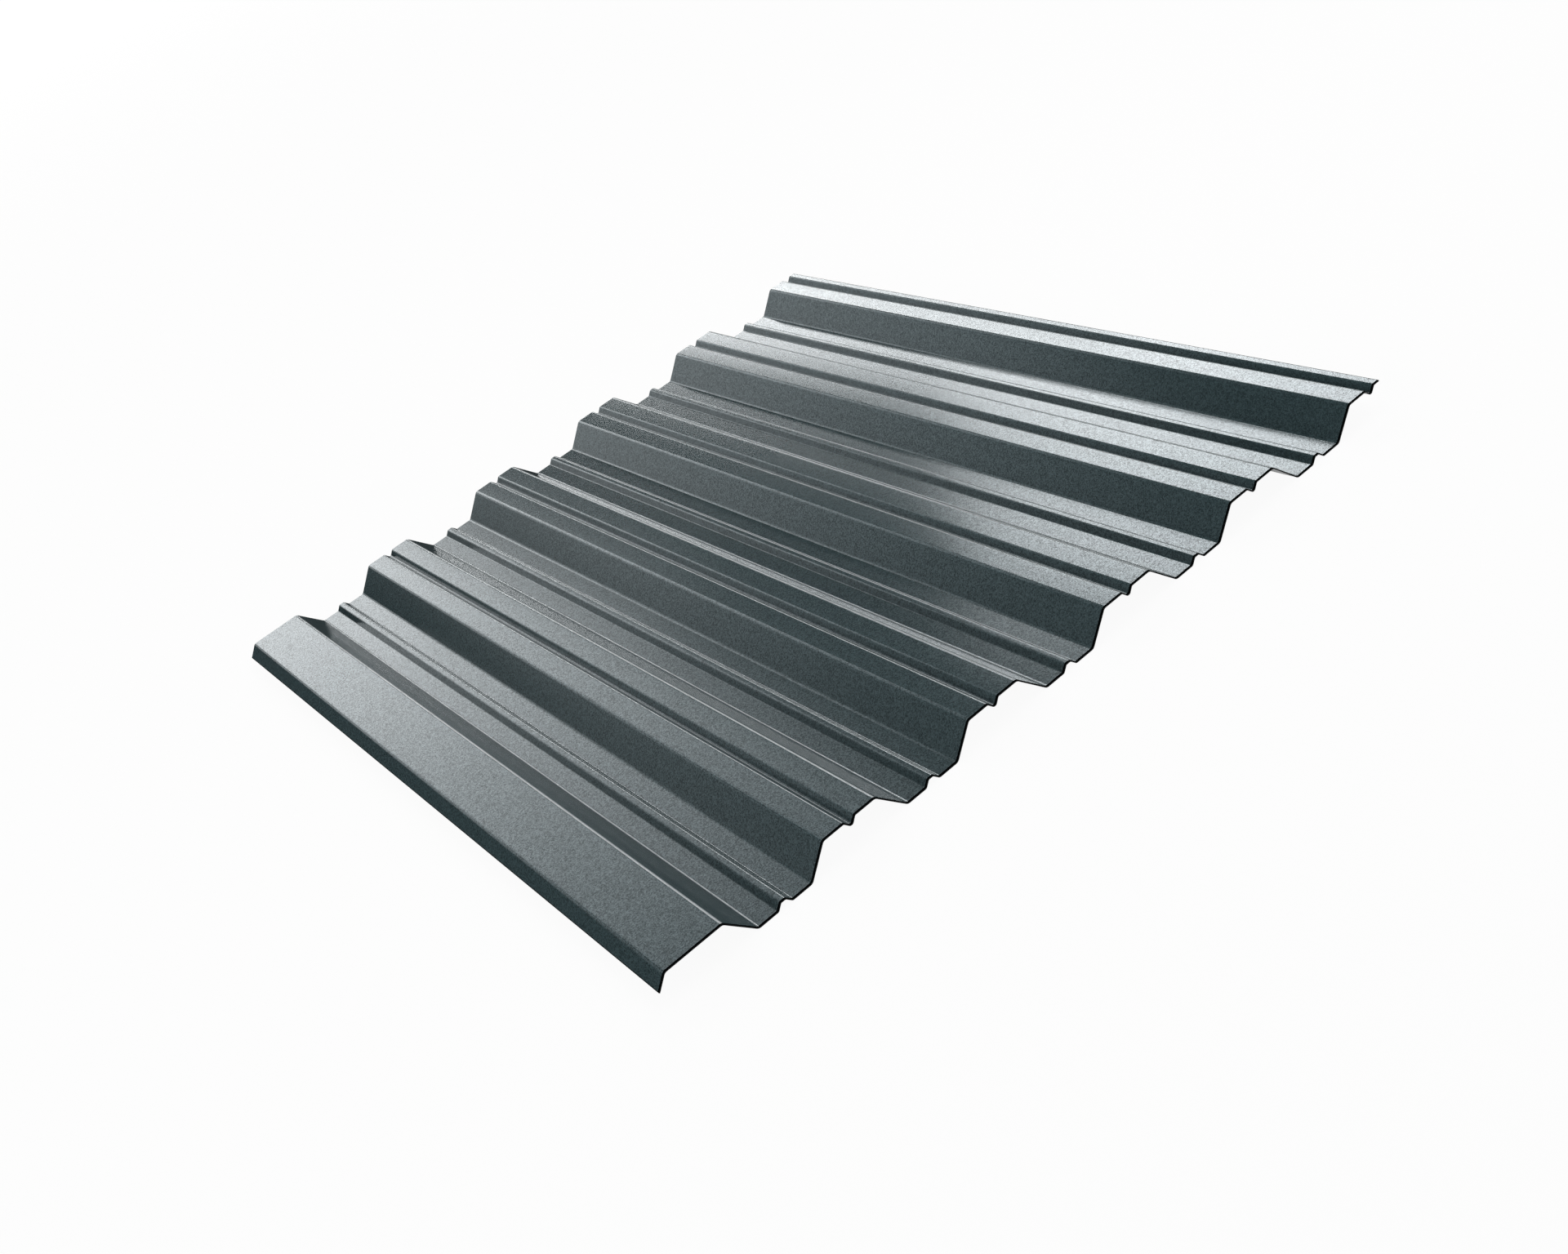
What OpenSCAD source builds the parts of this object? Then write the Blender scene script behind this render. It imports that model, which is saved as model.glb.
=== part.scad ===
// Profiled steel sheet for roofs and walls, cold rolled from one flat strip.
// Its section has trapezoidal waves with a rib in each trough and a groove in each crest. The first
// crest is plain and ends in a flange that laps over the next sheet, and the last ends in a flat lip.
// X runs across the waves, Y along them. The sheet lies on its troughs, at Z = 0.

/* [Sheet] */
// Length along the waves
sheet_len = 1200; // [600:10:1600]
// Thickness of the coated steel
gauge = 1.5; // [0.5:0.05:2]
// Overall height, from a trough's underside to a crest's top
overall_h = 34; // [30:0.5:45]

/* [Waves] */
// Number of waves, each a trough and the crest after it
wave_count = 5; // [2:1:8]
// Distance from one crest's centre to the next
pitch = 200; // [180:1:240]
// Width of a crest's flat, from corner to corner
crest_w = 70; // [60:1:80]
// Width of a trough's flat, from corner to corner
trough_w = 70; // [60:1:80]
// Inside radius of the bends between the flats and the webs
bend_r = 5.5; // [1:0.5:8]

/* [Ribs and grooves] */
// Width of the rib in a trough, at its foot
rib_w = 19; // [16:0.5:24]
// Width of the rib's top
rib_top_w = 6.5; // [5:0.5:9]
// Height of the rib
rib_h = 7; // [4:0.5:9]
// Width of the groove in a crest, at its mouth
groove_w = 15; // [13:0.5:20]
// Width of the groove's floor
groove_floor_w = 3; // [3:0.5:6]
// Depth of the groove
groove_d = 7; // [4:0.5:9]
// Inside radius of the bends of ribs and grooves
stiffener_bend_r = 2.25; // [1:0.25:3]

/* [Lap edges] */
// How far the first crest reaches out past the half width of the others, to lap over one of them
lap_reach = 2.5; // [1:0.5:5]
// Height of the flange that hangs from the first crest
flange_drop = 15.5; // [10:0.5:20]
// Width of the lip beside the last groove
lip_w = 9; // [6:0.5:15]

/* [Hidden] */

// Largest turn of the outline at one point of a bend, in degrees
facet_turn = 8;

// Heights of the strip's middle line in the crests and troughs
crest_z = overall_h - gauge / 2;
trough_z = gauge / 2;

// Slope of the webs, and of the flange, which is parallel to them
web_run = (pitch - crest_w - trough_w) / 2;
web_slope = atan2(crest_z - trough_z, web_run);
flange_run = flange_drop / tan(web_slope);

// Ends of the strip's middle line across the sheet, from the first crest's centre
lap_corner_x = -crest_w / 2 - lap_reach;
flange_end_x = lap_corner_x - flange_run;
lip_end_x = wave_count * pitch + groove_w / 2 + lip_w;

// Middle of the whole width, from the outer corner of the flange's cut edge to the lip's cut edge
middle_x = (flange_end_x - gauge / 2 * sin(web_slope) + lip_end_x) / 2;

// Corners of the strip's middle line as [x, z, inside radius], from the flange to the lip

function stiffener(x, z, foot_w, top_w, rise) = [
    [x - foot_w / 2, z, stiffener_bend_r],
    [x - top_w / 2, z + rise, stiffener_bend_r],
    [x + top_w / 2, z + rise, stiffener_bend_r],
    [x + foot_w / 2, z, stiffener_bend_r]
];

function lap_crest() = [
    [flange_end_x, crest_z - flange_drop, 0],
    [lap_corner_x, crest_z, bend_r],
    [crest_w / 2, crest_z, bend_r]
];

function ribbed_trough(x) = concat(
    [[x - trough_w / 2, trough_z, bend_r]],
    stiffener(x, trough_z, rib_w, rib_top_w, rib_h),
    [[x + trough_w / 2, trough_z, bend_r]]
);

function grooved_crest(x, is_last) = concat(
    [[x - crest_w / 2, crest_z, bend_r]],
    stiffener(x, crest_z, groove_w, groove_floor_w, -groove_d),
    is_last ? [[lip_end_x, crest_z, 0]] : [[x + crest_w / 2, crest_z, bend_r]]
);

corners = concat(
    lap_crest(),
    [for (i = [1:wave_count]) each concat(
        ribbed_trough((i - 0.5) * pitch),
        grooved_crest(i * pitch, i == wave_count)
    )]
);
last = len(corners) - 1;

// The two faces of the strip: side is 1 on top and -1 underneath

function corner(i) = [corners[i].x, corners[i].y];
function stretch(i) = corner(i + 1) - corner(i);
function heading(i) = atan2(stretch(i).y, stretch(i).x);
function along(angle) = [cos(angle), sin(angle)];
function left_of(angle) = [-sin(angle), cos(angle)];

function cut_end(i, angle, side) = [corner(i) + side * gauge / 2 * left_of(angle)];

// A bend is an arc about one centre on both faces, limited to half of each stretch beside it
function bend(i, side) =
    let (
        start = heading(i - 1),
        turn = heading(i) - start,
        room = min(norm(stretch(i - 1)), norm(stretch(i))) / 2,
        half_tan = tan(abs(turn) / 2),
        radius = min(corners[i].z + gauge / 2, room / half_tan),
        centre = corner(i) - radius * half_tan * along(start) + sign(turn) * radius * left_of(start),
        steps = ceil(abs(turn) / facet_turn)
    )
    [for (k = [0:steps])
        centre - (sign(turn) * radius - side * gauge / 2) * left_of(start + turn * k / steps)];

function face_line(side) = concat(
    cut_end(0, heading(0), side),
    [for (i = [1:last - 1]) each bend(i, side)],
    cut_end(last, heading(last - 1), side)
);

function reversed(points) = [for (i = [len(points) - 1:-1:0]) points[i]];

module section() {
    polygon(concat(face_line(1), reversed(face_line(-1))));
}

module profiled_sheet() {
    color([0.33, 0.38, 0.39])
        translate([-middle_x, sheet_len / 2, 0])
            rotate([90, 0, 0])
                linear_extrude(sheet_len)
                    section();
}

profiled_sheet();
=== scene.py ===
import math

import bpy
from mathutils import Matrix, Vector


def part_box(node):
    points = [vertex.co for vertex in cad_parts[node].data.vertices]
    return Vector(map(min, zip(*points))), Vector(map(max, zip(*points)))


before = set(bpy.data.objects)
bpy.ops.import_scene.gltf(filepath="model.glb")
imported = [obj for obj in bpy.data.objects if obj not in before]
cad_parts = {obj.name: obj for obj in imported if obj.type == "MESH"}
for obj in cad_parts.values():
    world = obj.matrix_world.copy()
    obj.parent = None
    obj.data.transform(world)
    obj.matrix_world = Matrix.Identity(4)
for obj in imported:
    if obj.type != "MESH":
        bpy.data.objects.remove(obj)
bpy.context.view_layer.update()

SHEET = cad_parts["profiled_sheet"]
SHEET_LOW, SHEET_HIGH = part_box("profiled_sheet")

# The camera: where it looks, from which side, and how far it is turned about its own axis
AIM = Vector((-0.0963, -0.2186, 0.017))
VIEW_AZIMUTH = -22.66
VIEW_ELEVATION = 30.25
VIEW_ROLL = 25.72
VIEW_DISTANCE = 2.2144
LENS_MM = 42.77
SENSOR_MM = 36.0

# The weather side's coat: its darkest and lightest flakes, and its colour where the flakes don't show
COAT_DARK = (0.0165, 0.0275, 0.030, 1)
COAT_LIGHT = (0.0485, 0.0795, 0.0865, 1)
COAT_EVEN = (0.0325, 0.0535, 0.058, 1)
COAT_TINT = (0.81, 0.935, 1.0, 1)
COAT_SHINE = (0.17, 0.83)
COAT_ROUGHNESS = (0.13, 0.18)
FLAKE_SCALE = 850.0
COAT_GRAIN_SCALE = 520.0
COAT_GRAIN_DEPTH = 0.000004

# Where a face's lean to the lip edge starts and stops getting the painted highlight on its bends, and where
# it is a web
HIGHLIGHT_START = (0.12, 0.28)
HIGHLIGHT_STOP = (0.42, 0.58)
WEB_START = (0.5, 0.65)
WEB_EVENNESS = 0.85
# Painted highlight on the bends that lean to the lip edge: its darkest and lightest flakes
HIGHLIGHT_DARK = (0.32, 0.345, 0.355, 1)
HIGHLIGHT_LIGHT = (0.43, 0.46, 0.47, 1)

# The underside's lacquer
BACK_DARK = (0.26, 0.27, 0.27, 1)
BACK_LIGHT = (0.30, 0.31, 0.31, 1)
BACK_ROUGHNESS = (0.42, 0.52)
BACK_GRAIN_SCALE = 420.0

# The sheared edges, coloured nearly black as painted shade, and the width of the strip of painted shade on
# the coat at the near end and the sides
CUT_SHADE_DARK = (0.001, 0.0015, 0.0015, 1)
CUT_SHADE_LIGHT = (0.005, 0.006, 0.006, 1)
CUT_ROUGHNESS = (0.45, 0.6)
CUT_SHINE = 0.05
CUT_GRAIN_SCALE = 900.0
END_SHADE_WIDTH = 0.0025
SIDE_SHADE_WIDTH = 0.0007

# How the sheet's faces are joined, smoothed and told apart
MERGE_DISTANCE = 0.00001
SMOOTH_BELOW = math.radians(20.0)
UNDERSIDE_BELOW = -0.1
FACES_SQUARELY = 0.9
FLANGE_EDGE_BAND = 0.0011
UNDERSIDE_SLOT = 1
CUT_SLOT = 2

# The studio
FLOOR_SIZE = 60.0
FLOOR_DROP = 0.0002
FLOOR_COLOUR = (0.85, 0.85, 0.85, 1)
FLOOR_SHOWN_WHITE = 0.94
PANEL_Z = 8.0
FLAG_COLOUR = (0.03, 0.03, 0.03, 1)
FLAG_Z = 0.001
WHITE = (1, 1, 1, 1)

# The directions in which the panels' strengths change
ALONG_X = (1, 0)
NEARLY_ALONG_X = (1, 0.1)
ALONG_Y = (0, 1)
ALONG_SIDE_PANEL = (0.875, 0.484)

# The world's strength: near the horizon, above it, behind the camera, and as the camera sees it
WORLD_HORIZON = 0.9
WORLD_DIM = 0.04
WORLD_SOFT = 0.55
WORLD_SHOWN = 0.965
HORIZON_FADE = (0.14, 0.28)
BEHIND_FADE = (0.25, -0.25)


# Node helpers


def new_material(name):
    """A material with an empty node tree and its output node."""
    material = bpy.data.materials.new(name)
    material.use_nodes = True
    material.node_tree.nodes.clear()
    output = material.node_tree.nodes.new("ShaderNodeOutputMaterial")
    return material, material.node_tree, output


def add(tree, kind, links=None, **settings):
    """Adds a node, sets its properties, and links or sets its inputs by name or number."""
    node = tree.nodes.new(kind)
    for key, value in settings.items():
        setattr(node, key, value)
    for key, value in (links or {}).items():
        if isinstance(value, bpy.types.NodeSocket):
            tree.links.new(value, node.inputs[key])
        else:
            node.inputs[key].default_value = value
    return node


def calculate(tree, operation, *values):
    inputs = dict(enumerate(values))
    return add(tree, "ShaderNodeMath", inputs, operation=operation).outputs["Value"]


def any_of(tree, *values):
    result = values[0]
    for value in values[1:]:
        result = calculate(tree, "MAXIMUM", result, value)
    return result


def axes_of(tree, vector):
    return add(tree, "ShaderNodeSeparateXYZ", {0: vector}).outputs


def noise(tree, vector, scale, roughness=0.5):
    inputs = {"Vector": vector, "Scale": scale, "Roughness": roughness}
    return add(tree, "ShaderNodeTexNoise", inputs).outputs["Fac"]


def spread(tree, value, low, high, from_low=0.3, from_high=0.7, interpolation="LINEAR"):
    """Maps a value to the range from low to high. A noise mostly lies from 0.3 to 0.7."""
    inputs = {"Value": value, 1: from_low, 2: from_high, 3: low, 4: high}
    node = add(tree, "ShaderNodeMapRange", inputs, interpolation_type=interpolation)
    return node.outputs["Result"]


def blend(tree, factor, first, second):
    """Mixes two colours. At a factor of 0 it is the first."""
    node = add(tree, "ShaderNodeMix", data_type="RGBA")
    for socket, value in (("Factor_Float", factor), ("A_Color", first), ("B_Color", second)):
        target = next(s for s in node.inputs if s.identifier == socket)
        if isinstance(value, bpy.types.NodeSocket):
            tree.links.new(value, target)
        else:
            target.default_value = value
    return next(s for s in node.outputs if s.identifier == "Result_Color")


def principled(tree, output, inputs):
    shader = add(tree, "ShaderNodeBsdfPrincipled", inputs)
    tree.links.new(shader.outputs["BSDF"], output.inputs["Surface"])


# Materials of the sheet


def painted_edge_shade(tree, place):
    """1 in a narrow strip of painted shade along the near end and the side edges, else 0."""
    axes = axes_of(tree, place)
    near_end = calculate(tree, "LESS_THAN", axes["Y"], SHEET_LOW.y + END_SHADE_WIDTH)
    flange = calculate(tree, "LESS_THAN", axes["X"], SHEET_LOW.x + SIDE_SHADE_WIDTH)
    lip = calculate(tree, "GREATER_THAN", axes["X"], SHEET_HIGH.x - SIDE_SHADE_WIDTH)
    return any_of(tree, near_end, flange, lip)


def lean_to_lip(tree):
    """How far a face leans to the lip edge: 0 on the flats, about 0.74 on the webs that face it."""
    return axes_of(tree, add(tree, "ShaderNodeTexCoord").outputs["Normal"])["X"]


def painted_bend_highlight(tree, lean):
    """1 on the bends that lean to the lip edge, where a pale highlight is painted into the coat, else 0."""
    past_flat = spread(tree, lean, 0.0, 1.0, *HIGHLIGHT_START)
    short_of_web = spread(tree, lean, 1.0, 0.0, *HIGHLIGHT_STOP)
    return calculate(tree, "MULTIPLY", past_flat, short_of_web)


def slate_coat():
    """Fine-grained slate coat of the weather side, with a silvery sheen."""
    material, tree, output = new_material("slate_coat")
    place = add(tree, "ShaderNodeTexCoord").outputs["Object"]
    flakes = add(tree, "ShaderNodeTexVoronoi", {"Vector": place, "Scale": FLAKE_SCALE}).outputs["Color"]
    flake = add(tree, "ShaderNodeSeparateColor", {0: flakes}).outputs["Red"]
    grain = noise(tree, place, COAT_GRAIN_SCALE, roughness=0.6)
    lean = lean_to_lip(tree)
    # Painted shade: a near-black strip along the near end and the side edges, which also loses its
    # reflection
    edge = painted_edge_shade(tree, place)

    coat = blend(tree, flake, COAT_DARK, COAT_LIGHT)
    coat = blend(tree, spread(tree, lean, 0.0, WEB_EVENNESS, *WEB_START), coat, COAT_EVEN)
    # Painted highlight: the bends that lean to the lip edge get a pale coat colour
    bend_highlight = blend(tree, flake, HIGHLIGHT_DARK, HIGHLIGHT_LIGHT)
    coat = blend(tree, painted_bend_highlight(tree, lean), coat, bend_highlight)
    shine = spread(tree, flake, *COAT_SHINE, 0.0, 1.0)
    bump = add(tree, "ShaderNodeBump", {"Strength": 1.0, "Distance": COAT_GRAIN_DEPTH, "Height": grain})
    principled(
        tree,
        output,
        {
            "Base Color": blend(tree, edge, coat, CUT_SHADE_DARK),
            "Roughness": spread(tree, grain, *COAT_ROUGHNESS),
            "Specular IOR Level": calculate(tree, "MULTIPLY", shine, calculate(tree, "SUBTRACT", 1.0, edge)),
            "Specular Tint": COAT_TINT,
            "Normal": bump.outputs["Normal"],
        },
    )
    return material


def back_coat():
    """Plain grey lacquer of the underside."""
    material, tree, output = new_material("back_coat")
    place = add(tree, "ShaderNodeTexCoord").outputs["Object"]
    grain = noise(tree, place, BACK_GRAIN_SCALE)
    principled(
        tree,
        output,
        {
            "Base Color": blend(tree, spread(tree, grain, 0.0, 1.0), BACK_DARK, BACK_LIGHT),
            "Roughness": spread(tree, grain, *BACK_ROUGHNESS),
        },
    )
    return material


def cut_edge():
    """Dull steel of the sheared edges, coloured nearly black as painted shade."""
    material, tree, output = new_material("cut_edge")
    place = add(tree, "ShaderNodeTexCoord").outputs["Object"]
    grain = noise(tree, place, CUT_GRAIN_SCALE)
    principled(
        tree,
        output,
        {
            "Base Color": blend(tree, spread(tree, grain, 0.0, 1.0), CUT_SHADE_DARK, CUT_SHADE_LIGHT),
            "Roughness": spread(tree, grain, *CUT_ROUGHNESS),
            "Specular IOR Level": CUT_SHINE,
        },
    )
    return material


# The sheet: one mesh whose faces are sorted into weather side, underside and cut edges


def compare(group, value, operation, limit):
    inputs = {"A": value, "B": limit}
    node = add(group, "FunctionNodeCompare", inputs, data_type="FLOAT", operation=operation)
    return node.outputs["Result"]


def either(group, first, second):
    return add(group, "FunctionNodeBooleanMath", {0: first, 1: second}, operation="OR").outputs[0]


def reshape(group, kind, geometry, inputs, **settings):
    """Passes the geometry through a node, which also has these inputs."""
    return add(group, kind, {"Geometry": geometry, **inputs}, **settings).outputs["Geometry"]


def smooth_bends(group, geometry):
    """Joins the split corners, and shades the bends smooth and the cut edges sharp."""
    joined = reshape(group, "GeometryNodeMergeByDistance", geometry, {"Distance": MERGE_DISTANCE})
    plain = reshape(group, "GeometryNodeRemoveAttribute", joined, {"Name": "custom_normal"})
    smooth = reshape(group, "GeometryNodeSetShadeSmooth", plain, {"Shade Smooth": True}, domain="FACE")
    angle = add(group, "GeometryNodeInputMeshEdgeAngle").outputs["Unsigned Angle"]
    gentle = compare(group, angle, "LESS_THAN", SMOOTH_BELOW)
    return reshape(group, "GeometryNodeSetShadeSmooth", smooth, {"Shade Smooth": gentle}, domain="EDGE")


def cut_faces(group, normal):
    """True on the faces of the two ends, of the flange's edge and of the lip's edge."""
    place = axes_of(group, add(group, "GeometryNodeInputPosition").outputs["Position"])
    ends = compare(group, calculate(group, "ABSOLUTE", normal["Y"]), "GREATER_THAN", FACES_SQUARELY)
    flange = compare(group, place["X"], "LESS_THAN", SHEET_LOW.x + FLANGE_EDGE_BAND)
    lip = compare(group, normal["X"], "GREATER_THAN", FACES_SQUARELY)
    return either(group, ends, either(group, flange, lip))


def face_sorter():
    """Geometry nodes that smooth the bends and give each face its material slot."""
    group = bpy.data.node_groups.new("sheet_faces", "GeometryNodeTree")
    group.interface.new_socket("Geometry", in_out="INPUT", socket_type="NodeSocketGeometry")
    group.interface.new_socket("Geometry", in_out="OUTPUT", socket_type="NodeSocketGeometry")
    start = add(group, "NodeGroupInput").outputs["Geometry"]
    normal = axes_of(group, add(group, "GeometryNodeInputNormal").outputs["Normal"])
    below = compare(group, normal["Z"], "LESS_THAN", UNDERSIDE_BELOW)
    sorted_faces = smooth_bends(group, start)
    for faces, slot in ((below, UNDERSIDE_SLOT), (cut_faces(group, normal), CUT_SLOT)):
        inputs = {"Selection": faces, "Material Index": slot}
        sorted_faces = reshape(group, "GeometryNodeSetMaterialIndex", sorted_faces, inputs)
    add(group, "NodeGroupOutput", {"Geometry": sorted_faces})
    return group


def dress_sheet():
    SHEET.data.materials.clear()
    for material in (slate_coat(), back_coat(), cut_edge()):
        SHEET.data.materials.append(material)
    sorter = SHEET.modifiers.new("sheet_faces", "NODES")
    sorter.node_group = face_sorter()
    normals = SHEET.modifiers.new("flat_faces", "WEIGHTED_NORMAL")
    normals.keep_sharp = True


# Studio


def flat_piece(name, corners):
    """A stage face through the given corners."""
    mesh = bpy.data.meshes.new(name)
    mesh.from_pydata([tuple(c) for c in corners], [], [tuple(range(len(corners)))])
    piece = bpy.data.objects.new(name, mesh)
    bpy.context.scene.collection.objects.link(piece)
    return piece


def rectangle(x0, x1, y0, y1):
    return [(x0, y0), (x1, y0), (x1, y1), (x0, y1)]


def lying(outline, z):
    return [(x, y, z) for x, y in outline]


def standing(foot_a, foot_b, low, high):
    return [(*foot_a, low), (*foot_b, low), (*foot_b, high), (*foot_a, high)]


def make_floor():
    """A pale floor that shows nearly white and keeps the sheet's shadow."""
    half = FLOOR_SIZE / 2
    floor = flat_piece("floor", lying(rectangle(-half, half, -half, half), -FLOOR_DROP))
    material, tree, output = new_material("pale_floor")
    path = add(tree, "ShaderNodeLightPath").outputs
    seen = any_of(tree, path["Is Camera Ray"], path["Is Glossy Ray"], path["Is Transmission Ray"])
    share = calculate(tree, "MULTIPLY", seen, FLOOR_SHOWN_WHITE)
    lit = add(tree, "ShaderNodeBsdfDiffuse", {"Color": FLOOR_COLOUR}).outputs["BSDF"]
    white = add(tree, "ShaderNodeEmission", {"Color": WHITE, "Strength": 1.0}).outputs["Emission"]
    mixed = add(tree, "ShaderNodeMixShader", {"Fac": share, 1: lit, 2: white}).outputs["Shader"]
    tree.links.new(mixed, output.inputs["Surface"])
    floor.data.materials.append(material)


def softbox(name, corners, direction, start, end):
    """A glowing panel. Its strength runs from start to end, each a place along direction and a strength."""
    panel = flat_piece(name, corners)
    panel.visible_camera = False
    material, tree, output = new_material(name + "_glow")
    place = add(tree, "ShaderNodeTexCoord").outputs["Object"]
    product = add(tree, "ShaderNodeVectorMath", {0: place, 1: (*direction, 0)}, operation="DOT_PRODUCT")
    (start_place, start_level), (end_place, end_level) = start, end
    level = spread(tree, product.outputs["Value"], start_level, end_level, start_place, end_place)
    glow = add(tree, "ShaderNodeEmission", {"Strength": level}).outputs["Emission"]
    tree.links.new(glow, output.inputs["Surface"])
    panel.data.materials.append(material)


def make_softboxes():
    """Panels far out over the sheet that show in its flats, and one at its left that shows in its webs."""
    left = lying(rectangle(-3.5, 4.3, 7.5, 27), PANEL_Z)
    softbox("softbox_left", left, ALONG_Y, start=(8.0, 0.75), end=(18.4, 4.7))
    shoulder = lying(rectangle(4.3, 6.4, 13.9, 27), PANEL_Z)
    softbox("softbox_shoulder", shoulder, ALONG_X, start=(4.3, 0.95), end=(6.2, 0))
    near = lying([(6.25, 10.9), (6.75, 7.5), (12.3, 7.5), (12.3, 11.75), (7.05, 11.75)], PANEL_Z)
    softbox("softbox_near", near, ALONG_X, start=(6.4, 5.8), end=(10.5, 8.0))
    middle = lying([(7.05, 11.75), (12.3, 11.75), (12.3, 13.9), (8.5, 13.9)], PANEL_Z)
    softbox("softbox_middle", middle, ALONG_X, start=(7.65, 2.1), end=(10.1, 9.8))
    right = lying(rectangle(8.2, 10.7, 13.9, 27), PANEL_Z)
    softbox("softbox_right", right, NEARLY_ALONG_X, start=(10.3, 0), end=(11.85, 13.2))
    side = standing((-8.5, 8.5), (-2.9, 11.6), low=2.75, high=6.9)
    softbox("softbox_side", side, ALONG_SIDE_PANEL, start=(-2.0, 0.3), end=(1.3, 1.55))


def flag(name, corners):
    """A dark card, out of the picture, that keeps the pale surroundings out of the sheet's reflections."""
    card = flat_piece(name, corners)
    card.visible_camera = False
    card.visible_diffuse = False
    card.visible_shadow = False
    material, tree, output = new_material(name + "_cloth")
    cloth = add(tree, "ShaderNodeBsdfDiffuse", {"Color": FLAG_COLOUR}).outputs["BSDF"]
    tree.links.new(cloth, output.inputs["Surface"])
    card.data.materials.append(material)


def make_flags():
    flag("flag_side", standing((-3.6, 1.2), (-1.4, 4.6), low=0, high=0.7))
    flag("flag_left", lying(rectangle(-3.0, SHEET_LOW.x, -0.7, 0.6), FLAG_Z))
    flag("flag_back", lying(rectangle(-3.0, 2.0, 0.6, 3.0), FLAG_Z))


def lamp(name, place, size, radiance):
    """A square soft lamp that faces the sheet, placed where no face mirrors it to the camera."""
    data = bpy.data.lights.new(name, "AREA")
    data.size = size
    data.energy = radiance * math.pi * size * size
    piece = bpy.data.objects.new(name, data)
    piece.location = place
    piece.rotation_euler = Vector(place).to_track_quat("Z", "Y").to_euler()
    bpy.context.scene.collection.objects.link(piece)


def make_lamps():
    lamp("lamp_right", (1.4, -0.3, 3.0), size=2.0, radiance=2.6)
    lamp("lamp_left", (-5.0, 1.0, 2.2), size=2.5, radiance=4.0)


def make_world():
    """Nearly white to the camera.

    To the sheet it is pale at the horizon, dim above it, and soft behind the camera.
    """
    world = bpy.data.worlds.new("studio")
    world.use_nodes = True
    tree = world.node_tree
    tree.nodes.clear()
    output = tree.nodes.new("ShaderNodeOutputWorld")
    axes = axes_of(tree, add(tree, "ShaderNodeTexCoord").outputs["Generated"])
    ahead = spread(tree, axes["Z"], WORLD_HORIZON, WORLD_DIM, *HORIZON_FADE, interpolation="SMOOTHSTEP")
    around = spread(tree, axes["Y"], ahead, WORLD_SOFT, *BEHIND_FADE, interpolation="SMOOTHSTEP")
    seen = add(tree, "ShaderNodeLightPath").outputs["Is Camera Ray"]
    level = spread(tree, seen, around, WORLD_SHOWN, 0.0, 1.0)
    sky = add(tree, "ShaderNodeBackground", {"Color": WHITE, "Strength": level}).outputs["Background"]
    tree.links.new(sky, output.inputs["Surface"])
    bpy.context.scene.world = world


def make_camera():
    azimuth, elevation = math.radians(VIEW_AZIMUTH), math.radians(VIEW_ELEVATION)
    back = Vector(
        (
            math.sin(azimuth) * math.cos(elevation),
            -math.cos(azimuth) * math.cos(elevation),
            math.sin(elevation),
        )
    )
    data = bpy.data.cameras.new("camera")
    data.sensor_width = SENSOR_MM
    data.lens = LENS_MM
    camera = bpy.data.objects.new("camera", data)
    level = (-back).to_track_quat("-Z", "Y").to_matrix()
    turned = level @ Matrix.Rotation(math.radians(-VIEW_ROLL), 3, "Z")
    camera.matrix_world = Matrix.Translation(AIM + back * VIEW_DISTANCE) @ turned.to_4x4()
    bpy.context.scene.collection.objects.link(camera)
    bpy.context.scene.camera = camera


make_camera()
make_world()
make_floor()
make_softboxes()
make_flags()
make_lamps()
dress_sheet()
bpy.context.scene.view_settings.view_transform = "Standard"
